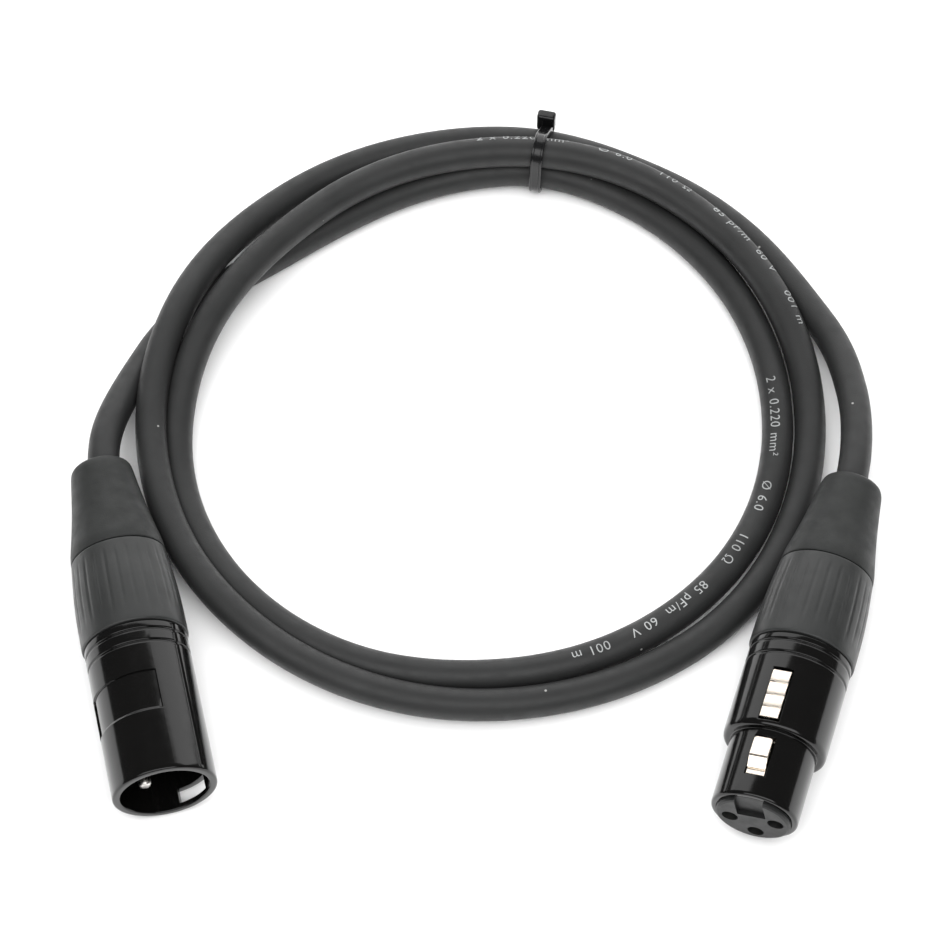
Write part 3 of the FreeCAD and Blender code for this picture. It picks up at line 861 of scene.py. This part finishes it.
def make_latch():
    """The latch lever: a hook in the nose window and a ribbed pad in the barrel's."""
    hook_back = 11.8
    profile = [
        (5.85, 3.7), (6.5, 3.7), (6.5, 4.8), (7.49, 4.9), (7.43, 5.85), (7.9, 5.95), (8.74, 7.65),
        (8.86, 7.95), (8.89, 8.2), (8.72, hook_back), (6.5, hook_back + 0.1), (6.5, 15.3),
        (9.9, 15.3), (9.84, 17.2),
    ]
    for rib_end in (19.9, 22.4, 25.0):
        profile += [(9.68, rib_end - 2.5), (9.80, rib_end - 2.42), (9.86, rib_end - 1.3)]
        profile += [(9.72, rib_end - 0.15)]
    profile += [(9.4, 25.2), (7.0, 25.2), (7.0, 16.6), (5.85, 16.2)]
    bm = bmesh.new()
    ends = [
        [bm.verts.new((across * MM, radius * MM, depth * MM)) for radius, depth in profile]
        for across in (-LATCH_WIDTH / 2, LATCH_WIDTH / 2)
    ]
    bm.faces.new(ends[0])
    bm.faces.new(ends[1][::-1])
    for index in range(len(profile)):
        after = (index + 1) % len(profile)
        bm.faces.new([ends[0][after], ends[0][index], ends[1][index], ends[1][after]])
    bmesh.ops.recalc_face_normals(bm, faces=bm.faces)
    corners = [
        edge for edge in bm.edges
        if all(-0.1 < vertex.co.z / MM - hook_back < 0.2 for vertex in edge.verts)
        and abs(edge.verts[0].co.x - edge.verts[1].co.x) < 0.1 * MM
    ]
    bevelled(bm, corners, 0.6, 5)
    sharp = [edge for edge in bm.edges if edge.calc_face_angle(0) > math.radians(40)]
    bevelled(bm, sharp, 0.1, 3, clamp_overlap=True)
    finished(bm, "latch_lever_plated", SOCKET_END, NICKEL, "latch", ["latch_lever"],
             sharp=50)


def make_latch_spring():
    """The leaf under the lever, from its foot in the shell to its tip under the pad."""
    foot, tip = Vector((3.35, 24.6)), Vector((6.55, 19.4))
    steps = 12
    lower = [foot.lerp(tip, step / steps) for step in range(steps + 1)]
    upper = [point + Vector((0.35, 0.2)) for point in lower]
    for line in (lower, upper):
        line.insert(0, Vector((line[0].x, 27.8)))
        line.append(Vector((line[-1].x, 18.2)))
    half = LEAF_WIDTH / 2
    bm = bmesh.new()
    sections = [
        [
            bm.verts.new((across * MM, point.x * MM, point.y * MM))
            for across, point in ((-half, under), (half, under), (half, over), (-half, over))
        ]
        for under, over in zip(lower, upper)
    ]
    for here, there in zip(sections, sections[1:]):
        for side in range(4):
            after = (side + 1) % 4
            bm.faces.new([here[side], here[after], there[after], there[side]])
    bm.faces.new(sections[0])
    bm.faces.new(sections[-1][::-1])
    bends = [SOCKET_END @ Vector((0, point.x * MM, point.y * MM)) for point in (foot, tip)]
    finished(bm, "latch_spring_leaf", SOCKET_END, SPRING, "lead", ["latch_spring"],
             blend=("latch", *bends))


# The tie

# The strands it holds, by distance from the coil's middle and by height
TIE_STRANDS = ((56.0, 4.1), (62.8, 4.1), (56.7, 9.7))


def tie_axes():
    """From the tie's own axes to the frame: +X runs out from the coil's middle and +Y is up."""
    turn = Matrix.Rotation(math.radians(TIE_ANGLE), 4, "Z") @ Matrix.Rotation(math.pi / 2, 4, "X")
    return Matrix.Translation(COIL_CENTRE) @ turn


def make_tie():
    """The strap drawn round the three strands, with two raised rails, and its locking head."""
    half = TIE_WIDTH / 2
    inside = CABLE_RADIUS + 0.05
    top = TIE_THICKNESS
    web = TIE_THICKNESS - 0.14
    # The strap's section, by height over its inside and by the way across
    section = [
        (0.0, -half + 0.1), (0.1, -half), (top - 0.15, -half), (top, -half + 0.15),
        (top, -half + 0.4), (web, -half + 0.55), (web, half - 0.55), (top, half - 0.4),
        (top, half - 0.15), (top - 0.15, half), (0.1, half), (0.0, half - 0.1),
    ]
    centres = [Vector(strand) for strand in TIE_STRANDS]
    bm = bmesh.new()
    loops = []
    previous = None
    steps = 120
    for step in range(steps):
        turn = math.radians(360 / steps * step)
        away = Vector((math.cos(turn), math.sin(turn)))
        centre = max(centres, key=lambda strand: strand.dot(away))
        strands = [centre]
        if previous is not None and previous != centre:
            # The strap leaves one strand here and runs straight to the next
            strands.insert(0, previous)
        for strand in strands:
            loop = []
            for rise, side in section:
                place = strand + away * (inside + rise)
                loop.append(bm.verts.new((place.x * MM, place.y * MM, side * MM)))
            loops.append(loop)
        previous = centre
    for here, there in zip(loops, loops[1:] + loops[:1]):
        for index in range(len(section)):
            after = (index + 1) % len(section)
            bm.faces.new([here[index], here[after], there[after], there[index]])

    def add_block(size, centre, offset, segments):
        block = bmesh.ops.create_cube(bm, size=1.0)["verts"]
        for vertex in block:
            vertex.co = (vertex.co * Vector(size) + centre) * MM
        corners = set(block)
        rims = [edge for edge in bm.edges if corners.issuperset(edge.verts)]
        bevelled(bm, rims, offset, segments)

    length, height, _ = TIE_HEAD
    middle = Vector((TIE_HEAD_START + length / 2, TIE_HEAD_BOTTOM + height / 2, TIE_HEAD_ASIDE))
    add_block(TIE_HEAD, middle, 0.6, 6)
    cut_end = Vector((TIE_HEAD_START + length - 0.2, middle.y + 0.6, middle.z))
    add_block((1.4, 0.9, 1.5), cut_end, 0.1, 2)
    finished(bm, "cable_tie_nylon", tie_axes(), NYLON, "lead", ["cable_tie"])


# The marks printed along the jacket

def set_marks(name):
    """The marks on a flat strip along X, as a mesh with points at several heights across it."""
    data = bpy.data.curves.new(name, "FONT")
    data.body = PRINT_WORDS
    data.size = PRINT_HEIGHT * MM / CAPITAL_HEIGHT
    data.space_character = 1.1
    data.space_word = 1.28
    data.offset = -0.018 * MM
    data.extrude = 0.02 * MM
    data.resolution_u = 3
    text = bpy.data.objects.new(name, data)
    bpy.context.scene.collection.objects.link(text)
    mesh = converted(text)
    bpy.data.objects.remove(text)
    bm = bmesh.new()
    bm.from_mesh(mesh)
    bpy.data.meshes.remove(mesh)
    levels = 8
    for step in range(1, levels):
        every = bm.verts[:] + bm.edges[:] + bm.faces[:]
        level = (0, PRINT_HEIGHT * MM * step / levels, 0)
        bmesh.ops.bisect_plane(bm, geom=every, plane_co=level, plane_no=(0, 1, 0), dist=1e-7)
    return bm


def wound_along(line):
    """The degrees wound round the coil's middle at each point of the cable's line."""
    wound = []
    for place in line:
        outward = place - COIL_CENTRE
        turn = 180 - math.degrees(math.atan2(outward.y, outward.x))
        if wound:
            turn = wound[-1] + turn_from(wound[-1], turn)
        elif turn > 180:
            turn -= 360
        wound.append(turn)
    return wound


def make_print(name, line, start, lean, lean_end):
    """The marks laid on the jacket from start degrees wound.

    They are lean degrees inward of its top line where they begin, and lean_end where they end.
    """
    bm = set_marks(name)
    lengths = [0.0]
    for before, place in zip(line, line[1:]):
        lengths.append(lengths[-1] + (place - before).length)
    first = next(index for index, turn in enumerate(wound_along(line)) if turn > start)
    extent = max(vertex.co.x for vertex in bm.verts)
    index = first
    for vertex in sorted(bm.verts, key=lambda item: item.co.x):
        reach = lengths[first] + vertex.co.x
        while lengths[index + 1] < reach:
            index += 1
        part = (reach - lengths[index]) / (lengths[index + 1] - lengths[index])
        centre = line[index].lerp(line[index + 1], part)
        along_here = (line[index + 1] - line[index - 1]).normalized()
        along_next = (line[index + 2] - line[index]).normalized()
        along = along_here.lerp(along_next, part).normalized()
        raised = (UP - along * UP.dot(along)).normalized()
        inward = along.cross(raised)
        lean_here = lean + (lean_end - lean) * vertex.co.x / extent
        angle = math.radians(lean_here) - (vertex.co.y / MM - PRINT_HEIGHT / 2) / CABLE_RADIUS
        away = raised * math.cos(angle) + inward * math.sin(angle)
        vertex.co = centre + away * ((CABLE_RADIUS + 0.005) * MM + vertex.co.z)
    finished(bm, name, Matrix.Identity(4), INK, "lead", [], sharp=60)


# Pieces that stay as the CAD has them

def dress_cad_nodes():
    """Gives each CAD node that stays in view its finish."""
    dressed = {
        FACE_PLASTIC: ("female_insert",),
        DARK_PLASTIC: ("male_insert", "male_chuck", "female_chuck"),
        GOLD: ("female_contact_1", "female_contact_2", "female_contact_3"),
        SPRING: ("male_ground_contact", "female_ground_contact"),
        CORE_RED: ("male_wire_hot", "female_wire_hot"),
        CORE_WHITE: ("male_wire_cold", "female_wire_cold"),
        COPPER: ("male_wire_shield", "female_wire_shield"),
    }
    for material, names in dressed.items():
        for name in names:
            for slot in nodes[name].material_slots:
                slot.material = material


make_camera()
centre_line = make_cable()
make_studio()
for side, connector, shoulder in (
    ("male", PIN_END, PIN_SHOULDER),
    ("female", SOCKET_END, SOCKET_SHOULDER),
):
    make_collar(side, connector, shoulder)
    make_boot(side, connector, shoulder)
make_pin_shell()
make_pins()
make_socket_shell()
make_latch()
make_latch_spring()
make_tie()
make_print("jacket_print_inner", centre_line, start=173.2, lean=14, lean_end=-4)
make_print("jacket_print_outer", centre_line, start=449, lean=-41, lean_end=-41)
dress_cad_nodes()
